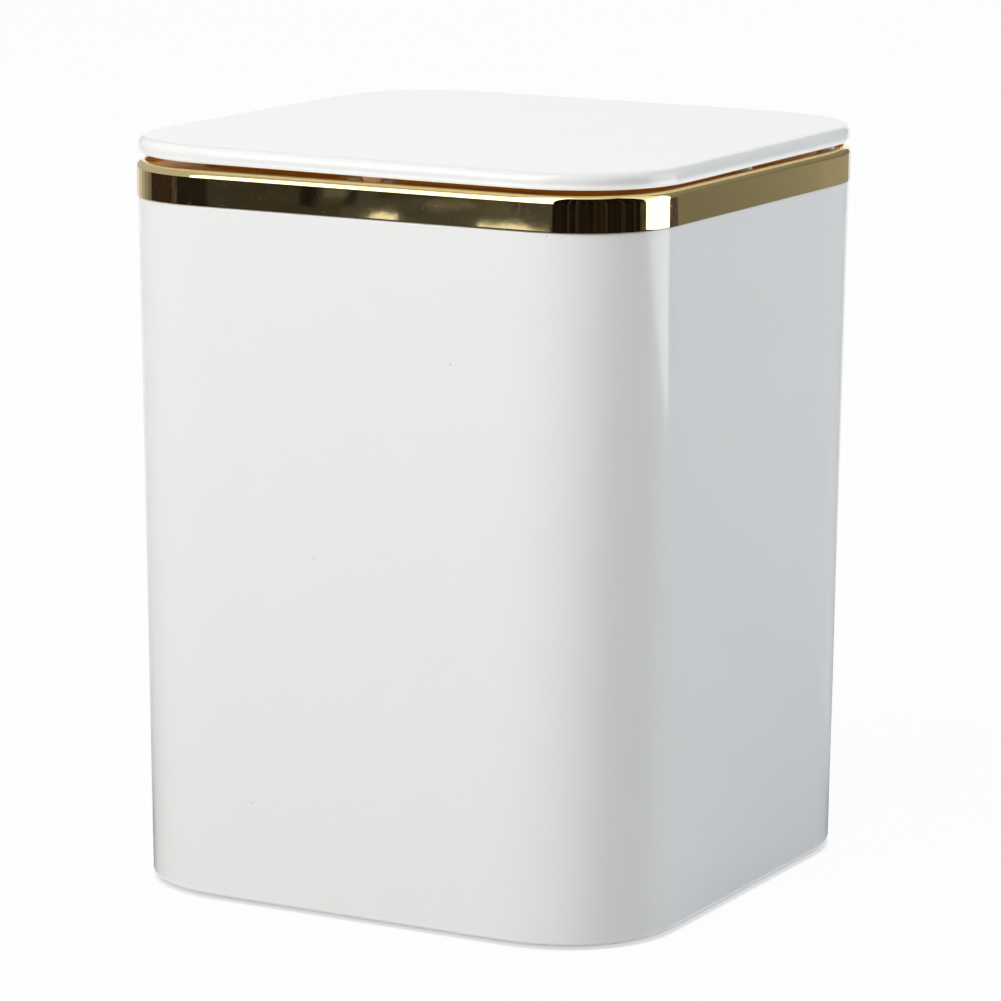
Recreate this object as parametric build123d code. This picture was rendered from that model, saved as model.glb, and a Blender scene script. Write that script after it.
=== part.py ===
from build123d import *

import os
from math import atan2, cos, degrees, radians, sin

# Push-top countertop bin: a tapered rounded-square body, and a lift-off top frame that carries
# a floating lid on a sprung rear hinge, held shut at the front by a push-push latch.
# Millimetres. Z is up from the surface that the feet stand on, the front is -Y, the hinge is at +Y.

# ---- Overall ----
ring_width = 130.0
ring_corner_radius = 23.5
body_height = 154.7
ring_height = 7.8
lid_gap = 1.6
lid_thickness = 3.8
foot_stand = 0.6

# ---- Body shell ----
body_inset = 0.25
body_taper = 0.5
body_base_corner_radius = 26.5
body_wall = 2.0
body_floor = 2.2
body_base_fillet = 1.2

# ---- Rubber feet ----
foot_radius = 6.0
foot_seat_depth = 0.8
foot_edge_margin = 14.25

# ---- Trim ring ----
ring_wall = 2.0
ring_edge_radius = 1.6
ring_foot_chamfer = 0.3
deck_drop = 1.5
deck_thickness = 2.0
deck_width = 13.5
throat_wall = 1.8
throat_depth = 9.0

# ---- Inner collar ----
collar_plate_thickness = 2.0
collar_drop = 0.2
skirt_clearance = 0.4
skirt_wall = 1.6
skirt_depth = 15.0
throat_clearance = 0.3

# ---- Screws and running fits ----
screw_fit = 0.05
running_fit = 0.05
boss_wall = 1.4
collar_screw_radius = 1.4
collar_screw_head_radius = 2.7
collar_screw_head_height = 1.7
collar_screw_length = 5.6
collar_screw_y = 28.0
screw_slot_width = 0.6
screw_slot_share = 0.5

# ---- Lid ----
lid_overhang = 0.4
lid_edge_radius = 1.65
lid_rim = 2.2
lid_panel_thickness = 1.6
lid_panel_fit = 0.15

# ---- Rear hinge ----
hinge_inset = 2.0
hinge_drop = 0.9
hinge_pin_radius = 1.0
knuckle_radius = 2.0
knuckle_length = 7.6
ear_length = 4.0
inner_ear_x = 14.6
hinge_end_play = 0.4
notch_depth = 3.4
notch_reach = 3.5
hinge_pad_depth = 5.5
hinge_pad_reach = 5.0

# ---- Lid torsion springs ----
torsion_wire_radius = 0.25
torsion_coil_radius = 1.5
torsion_turns = 10.5
torsion_pitch = 0.6
torsion_lid_leg = 8.0
torsion_frame_leg = 2.8
spring_seat_gap = 0.04

# ---- Push latch ----
latch_setback = 8.0
latch_press = 1.0
latch_rise = 2.0
latch_swing_per_mm = 4.35
jaw_tip_drop = 0.2
jaw_length = 8.8
jaw_thickness = 2.2
jaw_arm_inner = 4.1
jaw_arm_outer = 5.7
jaw_hook_inner = 3.2
jaw_hook_height = 1.1
jaw_eye_radius = 1.3
jaw_trunnion_radius = 0.8
slider_half_width = 6.4
slider_cheek = 0.9
slider_side_play = 0.1
slider_cheek_rise = 2.0
slider_block_drop = 3.0
slider_block_height = 5.2
case_play = 0.3
case_depth_play = 0.2
case_wall = 1.2
case_height = 20.5
case_ear_length = 6.5
case_ear_thickness = 2.0
case_ear_depth = 5.0
case_screw_radius = 1.0
case_screw_head_radius = 1.9
case_screw_head_height = 1.2
case_screw_length = 5.5
case_screw_boss_height = 3.0
cover_thickness = 1.8
latch_slot_margin = 0.5
cam_wire_radius = 0.35
cam_wire_length = 6.0
cam_track_play = 0.25
cam_track_depth = 1.1
cam_tip_reach = 0.8
cam_swing_per_mm = 3.0
cam_groove_depth = 0.9
cam_groove_margin = 0.8
latch_spring_radius = 1.6
latch_spring_wire = 0.22
latch_spring_turns = 5.0
latch_peg_radius = 1.0
latch_peg_height = 1.6

# ---- Striker ----
striker_top_half = 2.7
striker_rim_half = 1.95
striker_neck_half = 1.3
striker_head_half = 3.0
striker_head_top = 3.3
striker_head_side = 0.8
striker_head_height = 2.4
striker_nose_half = 1.0
striker_thickness = 2.0
striker_plate_half = 7.0
striker_plate_depth = 6.6
striker_window_half = 8.0
striker_window_margin = 1.4
striker_screw_x = 4.6
striker_screw_radius = 0.9
striker_screw_head_radius = 1.7
striker_screw_head_height = 0.9
striker_screw_bite = 1.0

# ---- Lid bumpers ----
bumper_radius = 2.0
bumper_height = 2.4
bumper_rim_margin = 0.5
bumper_rear_setback = 22.0

# ---- Places that follow from the sizes ----
ring_half = ring_width / 2
body_half_top = ring_half - body_inset
lid_half = ring_half + lid_overhang
deck_outer_half = ring_half - ring_wall
throat_half = deck_outer_half - deck_width
mouth_half = body_half_top - body_wall

z_base = foot_stand
z_floor = z_base + body_floor
z_rim = z_base + body_height
z_ring_top = z_rim + ring_height
z_deck_top = z_ring_top - deck_drop
z_deck_under = z_deck_top - deck_thickness
z_throat_end = z_deck_top - throat_depth
z_collar_top = z_rim - collar_drop
z_collar_under = z_collar_top - collar_plate_thickness
z_lid_under = z_ring_top + lid_gap
z_panel_top = z_lid_under + lid_panel_thickness
z_lid_top = z_lid_under + lid_thickness

hinge_y = ring_half - hinge_inset
hinge_z = z_ring_top - hinge_drop
knuckle_x = inner_ear_x + ear_length + torsion_turns * torsion_pitch + 1.5 + hinge_end_play
outer_ear_x = knuckle_x + knuckle_length + hinge_end_play

latch_y = latch_setback - ring_half
z_jaw_tip = z_ring_top - jaw_tip_drop
z_jaw_pivot = z_jaw_tip - jaw_length
jaw_pivot_x = (jaw_arm_inner + jaw_arm_outer) / 2
slider_half_depth = jaw_thickness / 2 + slider_side_play + slider_cheek
z_slider_block_top = z_jaw_pivot - slider_block_drop
z_slider_under = z_slider_block_top - slider_block_height
case_half_width = slider_half_width + case_play + case_wall
case_cavity_half_depth = slider_half_depth + case_depth_play
z_case_under = z_deck_under - case_height
z_case_floor = z_case_under + case_wall
case_front_y = latch_y - case_cavity_half_depth - case_wall
case_back_y = latch_y + case_cavity_half_depth
cover_back_y = case_back_y + cover_thickness
case_ear_middle_x = case_half_width + case_ear_length / 2
z_cam_tip = z_slider_block_top - latch_press - cam_wire_radius - cam_track_play
z_cam_pivot = z_cam_tip - cam_wire_length
cam_leg_y = case_back_y + cam_groove_depth / 2

sides = {"left": -1, "right": 1}
ends = {"front": -1, "rear": 1}


# ---- Small builders ----
def corner_radius(half):
    """Corner radius of a rounded square concentric with the trim ring's outside."""
    return ring_corner_radius - (ring_half - half)


def square(half, radius, z):
    """A rounded square lying at height z."""
    return Pos(0, 0, z) * RectangleRounded(2 * half, 2 * half, radius)


def slab(half, z_low, z_high):
    """A rounded-square slab, concentric with the trim ring."""
    return extrude(square(half, corner_radius(half), z_low), z_high - z_low)


def frame(outer_half, inner_half, z_low, z_high):
    """A rounded-square frame between two concentric outlines."""
    return slab(outer_half, z_low, z_high) - slab(inner_half, z_low, z_high)


def block(x, y, z):
    """A box given by its (low, high) limits along each axis."""
    middle = [sum(limits) / 2 for limits in (x, y, z)]
    sizes = [high - low for low, high in (x, y, z)]
    return Pos(*middle) * Box(*sizes)


def rod(radius, start, end):
    """A round rod between two points."""
    length = (Vector(*end) - Vector(*start)).length
    plane = Plane(origin=start, z_dir=Vector(*end) - Vector(*start))
    return plane * Cylinder(radius, length, align=(Align.CENTER, Align.CENTER, Align.MIN))


def upright(radius, x, y, z_low, z_high):
    """A vertical round rod."""
    return rod(radius, (x, y, z_low), (x, y, z_high))


def crossways(radius, x_low, x_high):
    """A round rod on the hinge axis."""
    return rod(radius, (x_low, hinge_y, hinge_z), (x_high, hinge_y, hinge_z))


def plate_at_latch(points, half_depth):
    """A flat shape in the latch's own plane, drawn as X and Z, with this half thickness along Y."""
    face = Plane(origin=(0, latch_y, 0), x_dir=(1, 0, 0), z_dir=(0, -1, 0)) * make_face(
        Polyline(*points, close=True)
    )
    return extrude(face, half_depth, both=True)


def screw(x, y, z_seat, radius, length, head_radius, head_height):
    """A pan-head screw driven upwards, with its head's bearing face at z_seat."""
    head = upright(head_radius, x, y, z_seat - head_height, z_seat)
    head = fillet(head.edges().group_by(Axis.Z)[0], head_height * screw_slot_share)
    for turn in (0, 90):
        slot = Box(2 * radius, screw_slot_width, head_height)
        head -= Pos(x, y, z_seat - head_height) * Rot(0, 0, turn) * slot
    return head + upright(radius, x, y, z_seat, z_seat + length)


def coil(wire_radius, coil_radius, pitch, turns, plane):
    """A coil of round wire, whose axis is the plane's Z and which starts on the plane's X."""
    path = plane * Edge.make_helix(pitch, pitch * turns, coil_radius)
    section = Plane(origin=path @ 0, z_dir=path % 0) * Circle(wire_radius)
    return sweep(section, path=path, is_frenet=True), path


# ---- Body shell and feet ----
def body_section(z, inward=0.0):
    """The body's outline at height z, offset inwards."""
    share = (z - z_base) / body_height
    half = body_half_top - body_taper * (1 - share)
    top_radius = corner_radius(body_half_top)
    radius = body_base_corner_radius + (top_radius - body_base_corner_radius) * share
    return square(half - inward, radius - inward, z)


def foot_places():
    """Each foot's name and the middle of its pad."""
    reach = body_half_top - body_taper - foot_edge_margin - foot_radius
    for end, y_sign in ends.items():
        for side, x_sign in sides.items():
            yield f"foot_{end}_{side}", x_sign * reach, y_sign * reach


def make_body_shell():
    outside = loft([body_section(z_base), body_section(z_rim)], ruled=True)
    outside = fillet(outside.edges().group_by(Axis.Z)[0], body_base_fillet)
    cavity = loft([body_section(z_floor, body_wall), body_section(z_rim, body_wall)], ruled=True)
    shell = outside - cavity
    for _, x, y in foot_places():
        shell -= upright(foot_radius, x, y, z_base, z_base + foot_seat_depth)
    return shell


def make_foot(x, y):
    return upright(foot_radius, x, y, 0, z_base + foot_seat_depth)


# ---- Trim ring ----
def collar_screw_places():
    """X and Y of each screw that holds the collar to the ring."""
    x = (deck_outer_half + throat_half + throat_wall) / 2
    for y_sign in ends.values():
        for x_sign in sides.values():
            yield x_sign * x, y_sign * collar_screw_y


def hinge_ear(x_low, x_high):
    """One fixed ear of the rear hinge, standing on the deck and flush with the ring's rear face."""
    stem = block(
        (x_low, x_high),
        (hinge_y - knuckle_radius, hinge_y + knuckle_radius),
        (z_deck_under, hinge_z),
    )
    return stem + crossways(knuckle_radius, x_low, x_high)


def ear_spans(x_sign):
    """The X limits of the inner and outer ear on one side."""
    for x in (inner_ear_x, outer_ear_x):
        yield sorted((x_sign * x, x_sign * (x + ear_length)))


def make_trim_ring():
    outside = slab(ring_half, z_rim, z_ring_top)
    outside = fillet(outside.edges().group_by(Axis.Z)[-1], ring_edge_radius)
    outside = chamfer(outside.edges().group_by(Axis.Z)[0], ring_foot_chamfer)
    ring = outside - slab(deck_outer_half, z_rim, z_ring_top)
    ring += frame(deck_outer_half, throat_half, z_deck_under, z_deck_top)
    ring += frame(throat_half + throat_wall, throat_half, z_throat_end, z_deck_top)

    pad_x = outer_ear_x + ear_length
    ring += block(
        (-pad_x, pad_x),
        (hinge_y - hinge_pad_reach, ring_half - ring_wall / 2),
        (z_ring_top - hinge_pad_depth, z_deck_under),
    )
    for x_sign in sides.values():
        notch_x = sorted((x_sign * (inner_ear_x + ear_length), x_sign * outer_ear_x))
        ring -= block(
            notch_x,
            (hinge_y - notch_reach, ring_half),
            (z_ring_top - notch_depth, z_ring_top),
        )
        for x_low, x_high in ear_spans(x_sign):
            ring += hinge_ear(x_low, x_high)
    ring -= crossways(hinge_pin_radius + screw_fit, -pad_x, pad_x)

    for x, y in collar_screw_places():
        ring += upright(collar_screw_radius + boss_wall, x, y, z_collar_top, z_deck_under)
        pilot_end = z_collar_under + collar_screw_length + screw_fit
        ring -= upright(collar_screw_radius + screw_fit, x, y, z_collar_top, pilot_end)

    slot_x = jaw_arm_outer + latch_rise * sin(radians(latch_swing_per_mm)) * jaw_length
    slot_y = jaw_thickness / 2 + latch_slot_margin
    return ring - block(
        (-slot_x - latch_slot_margin, slot_x + latch_slot_margin),
        (latch_y - slot_y, latch_y + slot_y),
        (z_deck_under, z_deck_top),
    )


# ---- Inner collar ----
def case_screw_places():
    """X and Y of each screw that holds the latch case to the collar."""
    for x_sign in sides.values():
        yield x_sign * case_ear_middle_x, latch_y


def make_inner_collar():
    outer_half = mouth_half - skirt_clearance
    inner_half = throat_half + throat_wall + throat_clearance
    collar = frame(outer_half, inner_half, z_collar_under, z_collar_top)
    collar += frame(outer_half, outer_half - skirt_wall, z_collar_under - skirt_depth, z_collar_under)
    gap_x = case_half_width + case_play
    collar -= block(
        (-gap_x, gap_x),
        (skirt_wall - outer_half, -inner_half),
        (z_collar_under, z_collar_top),
    )
    for x, y in collar_screw_places():
        collar -= upright(collar_screw_radius + screw_fit, x, y, z_collar_under, z_collar_top)
    for x, y in case_screw_places():
        boss_top = z_collar_top + case_screw_boss_height
        collar += upright(case_screw_radius + boss_wall, x, y, z_collar_top, boss_top)
        pilot_end = z_collar_under - case_ear_thickness + case_screw_length + screw_fit
        collar -= upright(case_screw_radius + screw_fit, x, y, z_collar_under, pilot_end)
    return collar


def make_collar_screws():
    return [
        screw(
            x,
            y,
            z_collar_under,
            collar_screw_radius,
            collar_screw_length,
            collar_screw_head_radius,
            collar_screw_head_height,
        )
        for x, y in collar_screw_places()
    ]


# ---- Push latch ----
def make_latch_case():
    width = (-case_half_width, case_half_width)
    case = block(width, (case_front_y, case_back_y), (z_case_under, z_deck_under))
    cavity_half = case_half_width - case_wall
    case -= block(
        (-cavity_half, cavity_half),
        (case_front_y + case_wall, case_back_y),
        (z_case_floor, z_deck_under),
    )
    ear_x = case_half_width + case_ear_length
    z_ear = (z_collar_under - case_ear_thickness, z_collar_under)
    ears = block(
        (-ear_x, ear_x),
        (latch_y - case_ear_depth / 2, latch_y + case_ear_depth / 2),
        z_ear,
    )
    case += ears - block(width, (case_front_y, cover_back_y), z_ear)
    for x, y in case_screw_places():
        case -= upright(case_screw_radius + screw_fit, x, y, *z_ear)
    return case + upright(latch_peg_radius, 0, latch_y, z_case_floor, z_case_floor + latch_peg_height)


def make_latch_cover():
    cover = block(
        (-case_half_width, case_half_width),
        (case_back_y, cover_back_y),
        (z_case_under, z_deck_under),
    )
    swing = sin(radians(cam_swing_per_mm * latch_rise)) * cam_wire_length
    groove_half = cam_wire_radius + swing + cam_groove_margin / 2
    cover -= block(
        (-groove_half, groove_half),
        (case_back_y, case_back_y + cam_groove_depth),
        (z_cam_pivot - cam_groove_margin, z_cam_tip + cam_groove_margin),
    )
    hole_radius = cam_wire_radius + running_fit
    return cover - rod(hole_radius, (0, case_back_y, z_cam_pivot), (0, cover_back_y, z_cam_pivot))


def make_latch_case_screws():
    return [
        screw(
            x,
            y,
            z_collar_under - case_ear_thickness,
            case_screw_radius,
            case_screw_length,
            case_screw_head_radius,
            case_screw_head_height,
        )
        for x, y in case_screw_places()
    ]


def cam_track():
    """The slanting track that the cam pin's tip follows in the slider's back."""
    low_x = sin(radians(cam_swing_per_mm * latch_rise)) * cam_wire_length
    high_x = -sin(radians(cam_swing_per_mm * latch_press)) * cam_wire_length
    low_z = z_cam_tip - latch_rise
    high_z = z_cam_tip + latch_press
    width = 2 * (cam_wire_radius + cam_track_play)
    slot = SlotCenterToCenter(((high_x - low_x) ** 2 + (high_z - low_z) ** 2) ** 0.5, width)
    lean = degrees(atan2(high_z - low_z, high_x - low_x))
    back = Plane(
        origin=((low_x + high_x) / 2, latch_y + slider_half_depth, (low_z + high_z) / 2),
        x_dir=(1, 0, 0),
        z_dir=(0, -1, 0),
    )
    return extrude(back * Rot(0, 0, lean) * slot, cam_track_depth)


def make_latch_slider():
    width = (-slider_half_width, slider_half_width)
    depth = (latch_y - slider_half_depth, latch_y + slider_half_depth)
    slider = block(width, depth, (z_slider_under, z_jaw_pivot + slider_cheek_rise))
    jaw_half = jaw_thickness / 2 + slider_side_play
    slider -= block(
        width,
        (latch_y - jaw_half, latch_y + jaw_half),
        (z_slider_block_top, z_jaw_pivot + slider_cheek_rise),
    )
    for x_sign in sides.values():
        x = x_sign * jaw_pivot_x
        ends_y = [(x, y, z_jaw_pivot) for y in depth]
        slider -= rod(jaw_trunnion_radius + running_fit, *ends_y)
    return slider - cam_track()


def make_latch_jaw(x_sign):
    z_hook = z_jaw_tip - jaw_hook_height
    outline = [
        (x_sign * jaw_arm_inner, z_jaw_pivot),
        (x_sign * jaw_arm_inner, z_hook),
        (x_sign * jaw_hook_inner, z_hook),
        (x_sign * jaw_hook_inner, z_hook + jaw_hook_height / 2),
        (x_sign * (jaw_hook_inner + jaw_hook_height / 2), z_jaw_tip),
        (x_sign * jaw_arm_outer, z_jaw_tip),
        (x_sign * jaw_arm_outer, z_jaw_pivot),
    ]
    half = jaw_thickness / 2
    x = x_sign * jaw_pivot_x
    eye = rod(jaw_eye_radius, (x, latch_y - half, z_jaw_pivot), (x, latch_y + half, z_jaw_pivot))
    reach = slider_half_depth
    trunnion = rod(
        jaw_trunnion_radius,
        (x, latch_y - reach, z_jaw_pivot),
        (x, latch_y + reach, z_jaw_pivot),
    )
    return plate_at_latch(outline, half) + eye + trunnion


def make_latch_spring():
    length = z_slider_under - z_case_floor - 2 * (latch_spring_wire + spring_seat_gap)
    start = Plane(origin=(0, latch_y, z_case_floor + latch_spring_wire + spring_seat_gap))
    body, _ = coil(
        latch_spring_wire, latch_spring_radius, length / latch_spring_turns, latch_spring_turns, start
    )
    return body


def make_latch_cam_pin():
    pivot_end = (0, cover_back_y, z_cam_pivot)
    foot = (0, cam_leg_y, z_cam_pivot)
    head = (0, cam_leg_y, z_cam_tip)
    tip = (0, latch_y + slider_half_depth - cam_tip_reach, z_cam_tip)
    pin = rod(cam_wire_radius, pivot_end, foot)
    pin += rod(cam_wire_radius, foot, head)
    pin += rod(cam_wire_radius, head, tip)
    for point in (foot, head):
        pin += Pos(*point) * Sphere(cam_wire_radius)
    return pin


# ---- Striker ----
def striker_stem_outline():
    """Half the striker's stem and arrow head, from the lid down, as X and Z."""
    z_head = z_ring_top - striker_head_top
    z_neck = z_ring_top - lid_gap * (striker_rim_half - striker_neck_half) / (
        striker_top_half - striker_rim_half
    )
    return [
        (striker_top_half, z_lid_under),
        (striker_neck_half, z_neck),
        (striker_neck_half, z_head),
        (striker_head_half, z_head),
        (striker_head_half, z_head - striker_head_side),
        (striker_nose_half, z_head - striker_head_height),
    ]


def striker_screw_places():
    y = latch_y + jaw_thickness / 2 + striker_window_margin + striker_plate_depth / 2
    for x_sign in sides.values():
        yield x_sign * striker_screw_x, y


def striker_plate(extra=0.0):
    """The T-shaped plate set into the lid's inner panel, grown by extra all round."""
    z = (z_lid_under, z_panel_top)
    y_bar = latch_y + jaw_thickness / 2 + striker_window_margin
    y_front = latch_y - striker_thickness / 2
    stem = block((-striker_top_half - extra, striker_top_half + extra), (y_front - extra, y_bar), z)
    half = striker_plate_half + extra
    return stem + block((-half, half), (y_bar - extra, y_bar + striker_plate_depth + extra), z)


def make_striker():
    right = striker_stem_outline()
    left = [(-x, z) for x, z in reversed(right)]
    striker = plate_at_latch(right + left, striker_thickness / 2) + striker_plate()
    for x, y in striker_screw_places():
        striker -= upright(striker_screw_radius + screw_fit, x, y, z_lid_under, z_panel_top)
    return striker


def make_striker_screws():
    length = lid_panel_thickness + striker_screw_bite
    return [
        screw(
            x,
            y,
            z_lid_under,
            striker_screw_radius,
            length,
            striker_screw_head_radius,
            striker_screw_head_height,
        )
        for x, y in striker_screw_places()
    ]


# ---- Lid ----
def make_lid_cover():
    lid = slab(lid_half, z_lid_under, z_lid_top)
    edges = lid.edges().group_by(Axis.Z)
    lid = fillet(edges[0] + edges[-1], lid_edge_radius)
    lid -= slab(lid_half - lid_rim, z_lid_under, z_panel_top)
    for x, y in striker_screw_places():
        pilot_end = z_panel_top + striker_screw_bite + screw_fit
        lid -= upright(striker_screw_radius + screw_fit, x, y, z_panel_top, pilot_end)
    return lid


def make_lid_inner_panel():
    half = lid_half - lid_rim - lid_panel_fit
    panel = slab(half, z_lid_under, z_panel_top) - striker_plate(lid_panel_fit)
    window_y = jaw_thickness / 2 + striker_window_margin
    panel -= block(
        (-striker_window_half, striker_window_half),
        (latch_y - window_y, latch_y + window_y),
        (z_lid_under, z_panel_top),
    )
    for x_sign in sides.values():
        x_low, x_high = sorted((x_sign * knuckle_x, x_sign * (knuckle_x + knuckle_length)))
        web = block(
            (x_low, x_high),
            (hinge_y - knuckle_radius, half),
            (hinge_z, z_lid_under),
        )
        knuckle = web + crossways(knuckle_radius, x_low, x_high)
        panel += knuckle - crossways(hinge_pin_radius + running_fit, x_low, x_high)
    return panel


# ---- Hinge pins and torsion springs ----
def make_hinge_pin(x_sign):
    return crossways(hinge_pin_radius, x_sign * inner_ear_x, x_sign * (outer_ear_x + ear_length))


def make_torsion_spring(x_sign):
    length = torsion_turns * torsion_pitch
    middle = (inner_ear_x + ear_length + knuckle_x) / 2
    start = Plane(
        origin=(x_sign * middle - length / 2, hinge_y, hinge_z),
        x_dir=(0, 0, -1),
        z_dir=(1, 0, 0),
    )
    spring, path = coil(torsion_wire_radius, torsion_coil_radius, torsion_pitch, torsion_turns, start)
    clear = torsion_wire_radius + spring_seat_gap
    bottom, top = path @ 0, path @ 1
    floor_end = (bottom.X, bottom.Y - torsion_frame_leg, z_ring_top - notch_depth + clear)
    lid_end = (top.X, top.Y - torsion_lid_leg, z_lid_under - clear)
    for joint, leg_end in ((bottom, floor_end), (top, lid_end)):
        spring += rod(torsion_wire_radius, tuple(joint), leg_end)
        spring += Pos(*joint) * Sphere(torsion_wire_radius)
    return spring


# ---- Bumpers ----
def bumper_places():
    x = deck_outer_half - bumper_radius - bumper_rim_margin
    for side, x_sign in sides.items():
        yield f"bumper_{side}_mid", x_sign * x, 0.0
        yield f"bumper_{side}_rear", x_sign * x, ring_half - bumper_rear_setback


def make_bumper(x, y):
    bumper = upright(bumper_radius, x, y, z_deck_top, z_deck_top + bumper_height)
    return fillet(bumper.edges().group_by(Axis.Z)[-1], bumper_radius / 2)


# ---- Every node, written to its own file ----
nodes = {
    "body_shell": make_body_shell(),
    "trim_ring": make_trim_ring(),
    "inner_collar": make_inner_collar(),
    "collar_screws": make_collar_screws(),
    "latch_case": make_latch_case(),
    "latch_cover": make_latch_cover(),
    "latch_case_screws": make_latch_case_screws(),
    "latch_slider": make_latch_slider(),
    "latch_spring": make_latch_spring(),
    "latch_cam_pin": make_latch_cam_pin(),
    "striker": make_striker(),
    "striker_screws": make_striker_screws(),
    "lid_cover": make_lid_cover(),
    "lid_inner_panel": make_lid_inner_panel(),
}
for name, x, y in foot_places():
    nodes[name] = make_foot(x, y)
for name, x, y in bumper_places():
    nodes[name] = make_bumper(x, y)
for side, x_sign in sides.items():
    nodes[f"latch_jaw_{side}"] = make_latch_jaw(x_sign)
    nodes[f"hinge_pin_{side}"] = make_hinge_pin(x_sign)
    nodes[f"torsion_spring_{side}"] = make_torsion_spring(x_sign)

os.makedirs("parts", exist_ok=True)
for name, shape in nodes.items():
    solids = shape if isinstance(shape, list) else [shape]
    whole = Compound(children=[Part(s.wrapped) for s in solids]) if len(solids) > 1 else solids[0]
    export_step(whole, os.path.join("parts", f"{name}.step"))
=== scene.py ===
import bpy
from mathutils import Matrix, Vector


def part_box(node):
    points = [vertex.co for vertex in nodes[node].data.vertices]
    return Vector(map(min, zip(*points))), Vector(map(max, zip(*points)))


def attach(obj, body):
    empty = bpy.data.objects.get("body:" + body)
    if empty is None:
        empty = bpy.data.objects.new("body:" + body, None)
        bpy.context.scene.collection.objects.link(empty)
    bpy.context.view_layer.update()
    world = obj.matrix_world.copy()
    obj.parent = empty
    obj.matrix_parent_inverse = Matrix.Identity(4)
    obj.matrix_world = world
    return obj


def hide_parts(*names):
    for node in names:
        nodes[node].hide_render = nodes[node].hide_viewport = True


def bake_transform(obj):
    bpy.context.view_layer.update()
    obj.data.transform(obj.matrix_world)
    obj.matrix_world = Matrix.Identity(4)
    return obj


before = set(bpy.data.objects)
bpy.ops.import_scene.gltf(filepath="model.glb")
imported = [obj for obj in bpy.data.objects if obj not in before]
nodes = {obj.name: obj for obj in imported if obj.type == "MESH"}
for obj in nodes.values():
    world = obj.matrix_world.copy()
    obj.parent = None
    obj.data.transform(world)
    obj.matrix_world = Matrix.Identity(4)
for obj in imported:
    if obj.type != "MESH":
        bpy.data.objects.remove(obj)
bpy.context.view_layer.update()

# %% [markdown]
# A push-top countertop bin: a gloss white tapered body, a gold plated trim ring, and a thin lid that
# floats just above the ring on a hidden hinge. The engineering model is loaded and stays as it is. The
# cells below make the surfaces that are seen, worked out with numpy, and give every piece its finish.

# %% Libraries and units
import math

import bmesh
import bpy
import numpy as np
from mathutils import Matrix, Vector

MM = 0.001
X, Y, Z = 0, 1, 2
print("pieces in the frame:", len(nodes))

# %% [markdown]
# Heights and widths come from the frame, so that a piece always lies where its solid is. The few sizes
# that a box can't tell, such as an edge radius or a wall, are named here in millimetres.


# %% Places read from the frame
def low(node, axis):
    """A solid's lowest coordinate along an axis, in millimetres."""
    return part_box(node)[0][axis] / MM


def high(node, axis):
    """A solid's highest coordinate along an axis, in millimetres."""
    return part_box(node)[1][axis] / MM


def mid(node, axis):
    """A solid's middle coordinate along an axis, in millimetres."""
    return (low(node, axis) + high(node, axis)) / 2


RING_HALF, BODY_HALF, LID_HALF = high("trim_ring", X), high("body_shell", X), high("lid_cover", X)
BODY_BASE, BODY_RIM = low("body_shell", Z), high("body_shell", Z)
LID_UNDER, LID_TOP = low("lid_cover", Z), high("lid_cover", Z)
LATCH_Y, HINGE_Y, HINGE_Z = mid("latch_slider", Y), mid("hinge_pin_left", Y), mid("hinge_pin_left", Z)
print("half widths of ring, body and lid:", RING_HALF, BODY_HALF, LID_HALF)

# %% Sizes that a box can't tell
RING_CORNER, LID_CORNER, BASE_CORNER = 22.8, 25.1, 26.5
BODY_TAPER, BODY_WALL, BODY_FLOOR, BASE_FILLET = 0.5, 2.0, 2.2, 1.2
RING_HEIGHT, RING_WALL, RING_EDGE = 7.8, 2.0, 1.6
DECK_DROP, DECK_THICK, DECK_WIDTH = 1.5, 2.0, 13.5
THROAT_WALL, THROAT_DEPTH = 1.8, 9.0
LID_EDGE_TOP, LID_EDGE_LOW, LID_RIM, PANEL_THICK, PANEL_FIT = 1.8, 0.75, 2.2, 1.6, 0.15
KNUCKLE, PIN = 2.0, 1.0
RING_TOP = BODY_RIM + RING_HEIGHT
DECK_HALF = RING_HALF - RING_WALL
THROAT_HALF = DECK_HALF - DECK_WIDTH
DECK_TOP = RING_TOP - DECK_DROP
DECK_UNDER = DECK_TOP - DECK_THICK
PANEL_TOP = LID_UNDER + PANEL_THICK
PANEL_HALF = LID_HALF - LID_RIM - PANEL_FIT
print("ring top", RING_TOP, "deck", DECK_UNDER, DECK_TOP, "throat half width", THROAT_HALF)

# %% [markdown]
# Every surface here is a grid: a table of points with rows and columns, which one function turns into
# faces. Rows or columns may wrap round to the first one, and a row whose points all coincide is a pole,
# where the squares become triangles, so no surface is left with a hole or a seam.


# %% From a table of points to a mesh
SAME_POINT = 2e-7


def table_faces(rows, columns, wrap_rows=False, wrap_columns=True):
    """The four corners of every face between neighbouring rows and columns of a table."""
    index = np.arange(rows * columns).reshape(rows, columns)
    if wrap_rows:
        index = np.vstack([index, index[:1]])
    if wrap_columns:
        index = np.hstack([index, index[:, :1]])
    faces = np.stack([index[:-1, :-1], index[:-1, 1:], index[1:, 1:], index[1:, :-1]], -1)
    return faces.reshape(-1, 4).tolist()


def mend(mesh):
    """Merges points that coincide, drops faces without area, and turns every face outwards."""
    tidy = bmesh.new()
    tidy.from_mesh(mesh)
    bmesh.ops.remove_doubles(tidy, verts=tidy.verts, dist=SAME_POINT)
    bmesh.ops.dissolve_degenerate(tidy, edges=tidy.edges, dist=SAME_POINT / 2)
    bmesh.ops.recalc_face_normals(tidy, faces=tidy.faces)
    open_edges = sum(not edge.is_manifold for edge in tidy.edges)
    if open_edges:
        print(f"{mesh.name} has {open_edges} open edges")
    tidy.to_mesh(mesh)
    tidy.free()
    return mesh


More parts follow.
